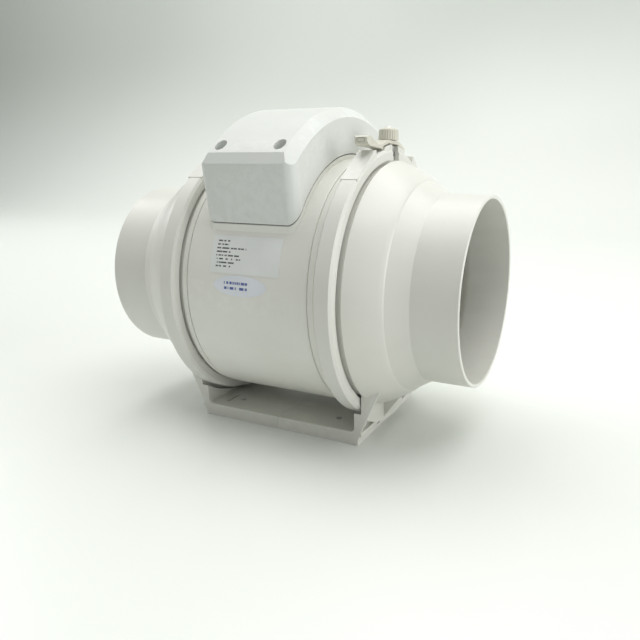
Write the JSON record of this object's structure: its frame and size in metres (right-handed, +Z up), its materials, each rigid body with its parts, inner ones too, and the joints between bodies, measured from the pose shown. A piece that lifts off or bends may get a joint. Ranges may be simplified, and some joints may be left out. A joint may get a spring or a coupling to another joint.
{
  "type": "inline duct fan",
  "caption": "Inline mixed-flow duct fan on a base, with round spigots, an arched terminal box and two quick-release clamp bands that free the motor section.",
  "frame": {"origin": "on the mounting surface, under the middle of the fan", "axes": "+X along the fan's axis towards the outlet, +Z up, +Y towards the back"},
  "size_m": [0.2616, 0.1784, 0.2166],
  "materials": {
    "housing_plastic": "moulded ABS, satin, off-white",
    "casing_plastic": "moulded ABS, satin, white",
    "cover_plastic": "moulded ABS, satin, bright white",
    "band_plastic": "moulded nylon, satin white",
    "clip_plastic": "moulded nylon, creamy white",
    "knob_plastic": "moulded nylon, creamy white, fluted",
    "inner_plastic": "moulded polypropylene, white",
    "zinc_steel": "zinc plated steel",
    "shaft_steel": "ground steel",
    "bearing_steel": "bearing steel",
    "core_steel": "stacked electrical steel",
    "winding_copper": "enamelled copper wire",
    "seal_rubber": "soft moulded rubber",
    "terminal_plastic": "cream nylon",
    "terminal_brass": "bright brass",
    "capacitor_plastic": "moulded case",
    "gland_plastic": "moulded nylon, light grey",
    "lead_plastic": "flexible sheath",
    "label_film": "white printed film, blank",
    "sticker_film": "glossy white film, blank"
  },
  "bodies": {
    "fan_body": {"inlet_housing": "housing_plastic", "outlet_housing": "housing_plastic", "motor_casing": "casing_plastic", "impeller_shroud": "inner_plastic", "guide_vanes": "inner_plastic", "motor_end_cover": "inner_plastic", "motor_cover_screws": "zinc_steel", "stator_core": "core_steel", "stator_windings": "winding_copper", "front_bearing": "bearing_steel", "rear_bearing": "bearing_steel", "inlet_seal": "seal_rubber", "outlet_seal": "seal_rubber", "terminal_cover": "cover_plastic", "cover_seal": "seal_rubber", "cover_screws": "zinc_steel", "terminal_block": "terminal_plastic", "terminal_screws": "terminal_brass", "run_capacitor": "capacitor_plastic", "capacitor_clip": "clip_plastic", "cable_gland": "gland_plastic", "gland_nut": "gland_plastic", "motor_lead": "lead_plastic", "lead_grommet": "seal_rubber", "rating_label": "label_film", "test_sticker": "sticker_film", "inlet_bolt": "zinc_steel", "inlet_lock_nut": "zinc_steel", "outlet_bolt": "zinc_steel", "outlet_lock_nut": "zinc_steel"},
    "rotor": {"impeller": "inner_plastic", "motor_shaft": "shaft_steel", "rotor_core": "core_steel", "impeller_nut": "zinc_steel"},
    "inlet_front_half": {"inlet_front_band": "band_plastic", "inlet_hinge_pin": "zinc_steel"},
    "inlet_rear_half": {"inlet_rear_band": "band_plastic"},
    "inlet_clip_body": {"inlet_clip": "clip_plastic"},
    "inlet_knob_body": {"inlet_knob": "knob_plastic", "inlet_knob_insert": "terminal_brass"},
    "outlet_front_half": {"outlet_front_band": "band_plastic", "outlet_hinge_pin": "zinc_steel"},
    "outlet_rear_half": {"outlet_rear_band": "band_plastic"},
    "outlet_clip_body": {"outlet_clip": "clip_plastic"},
    "outlet_knob_body": {"outlet_knob": "knob_plastic", "outlet_knob_insert": "terminal_brass"}
  },
  "joints": [
    {"name": "impeller_spin", "type": "hinge", "parent": "fan_body", "child": "rotor", "pos_m": [0, 0, 0.0998], "axis": [1, 0, 0], "continuous": true},
    {"name": "inlet_knob_turn", "type": "hinge", "parent": "inlet_clip_body", "child": "inlet_knob_body", "pos_m": [-0.0578, 0.01004, 0.19527], "axis": [0, 0.1045, 0.9945], "range_deg": [0, 3085.7]},
    {"name": "inlet_clip_lift", "type": "slide", "parent": "fan_body", "child": "inlet_clip_body", "axis": [0, 0.1045, 0.9945], "range_m": [0, 0.006]},
    {"name": "inlet_front_open", "type": "hinge", "parent": "fan_body", "child": "inlet_front_half", "pos_m": [-0.0578, -0.0092, 0.01228], "axis": [1, 0, 0], "range_deg": [0, 1.7]},
    {"name": "inlet_rear_open", "type": "hinge", "parent": "fan_body", "child": "inlet_rear_half", "pos_m": [-0.0578, -0.0092, 0.01228], "axis": [-1, 0, 0], "range_deg": [0, 1.7]},
    {"name": "outlet_knob_turn", "type": "hinge", "parent": "outlet_clip_body", "child": "outlet_knob_body", "pos_m": [0.0578, 0.01004, 0.19527], "axis": [0, 0.1045, 0.9945], "range_deg": [0, 3085.7]},
    {"name": "outlet_clip_lift", "type": "slide", "parent": "fan_body", "child": "outlet_clip_body", "axis": [0, 0.1045, 0.9945], "range_m": [0, 0.006]},
    {"name": "outlet_front_open", "type": "hinge", "parent": "fan_body", "child": "outlet_front_half", "pos_m": [0.0578, -0.0092, 0.01228], "axis": [1, 0, 0], "range_deg": [0, 1.7]},
    {"name": "outlet_rear_open", "type": "hinge", "parent": "fan_body", "child": "outlet_rear_half", "pos_m": [0.0578, -0.0092, 0.01228], "axis": [-1, 0, 0], "range_deg": [0, 1.7]}
  ],
  "couplings": [
    {"joint": "inlet_knob_turn", "follows": "inlet_clip_lift", "rad_per_m": 8975},
    {"joint": "inlet_front_open", "follows": "inlet_clip_lift", "rad_per_m": 4.9446},
    {"joint": "inlet_rear_open", "follows": "inlet_clip_lift", "rad_per_m": 4.9446},
    {"joint": "outlet_knob_turn", "follows": "outlet_clip_lift", "rad_per_m": 8975},
    {"joint": "outlet_front_open", "follows": "outlet_clip_lift", "rad_per_m": 4.9446},
    {"joint": "outlet_rear_open", "follows": "outlet_clip_lift", "rad_per_m": 4.9446}
  ]
}
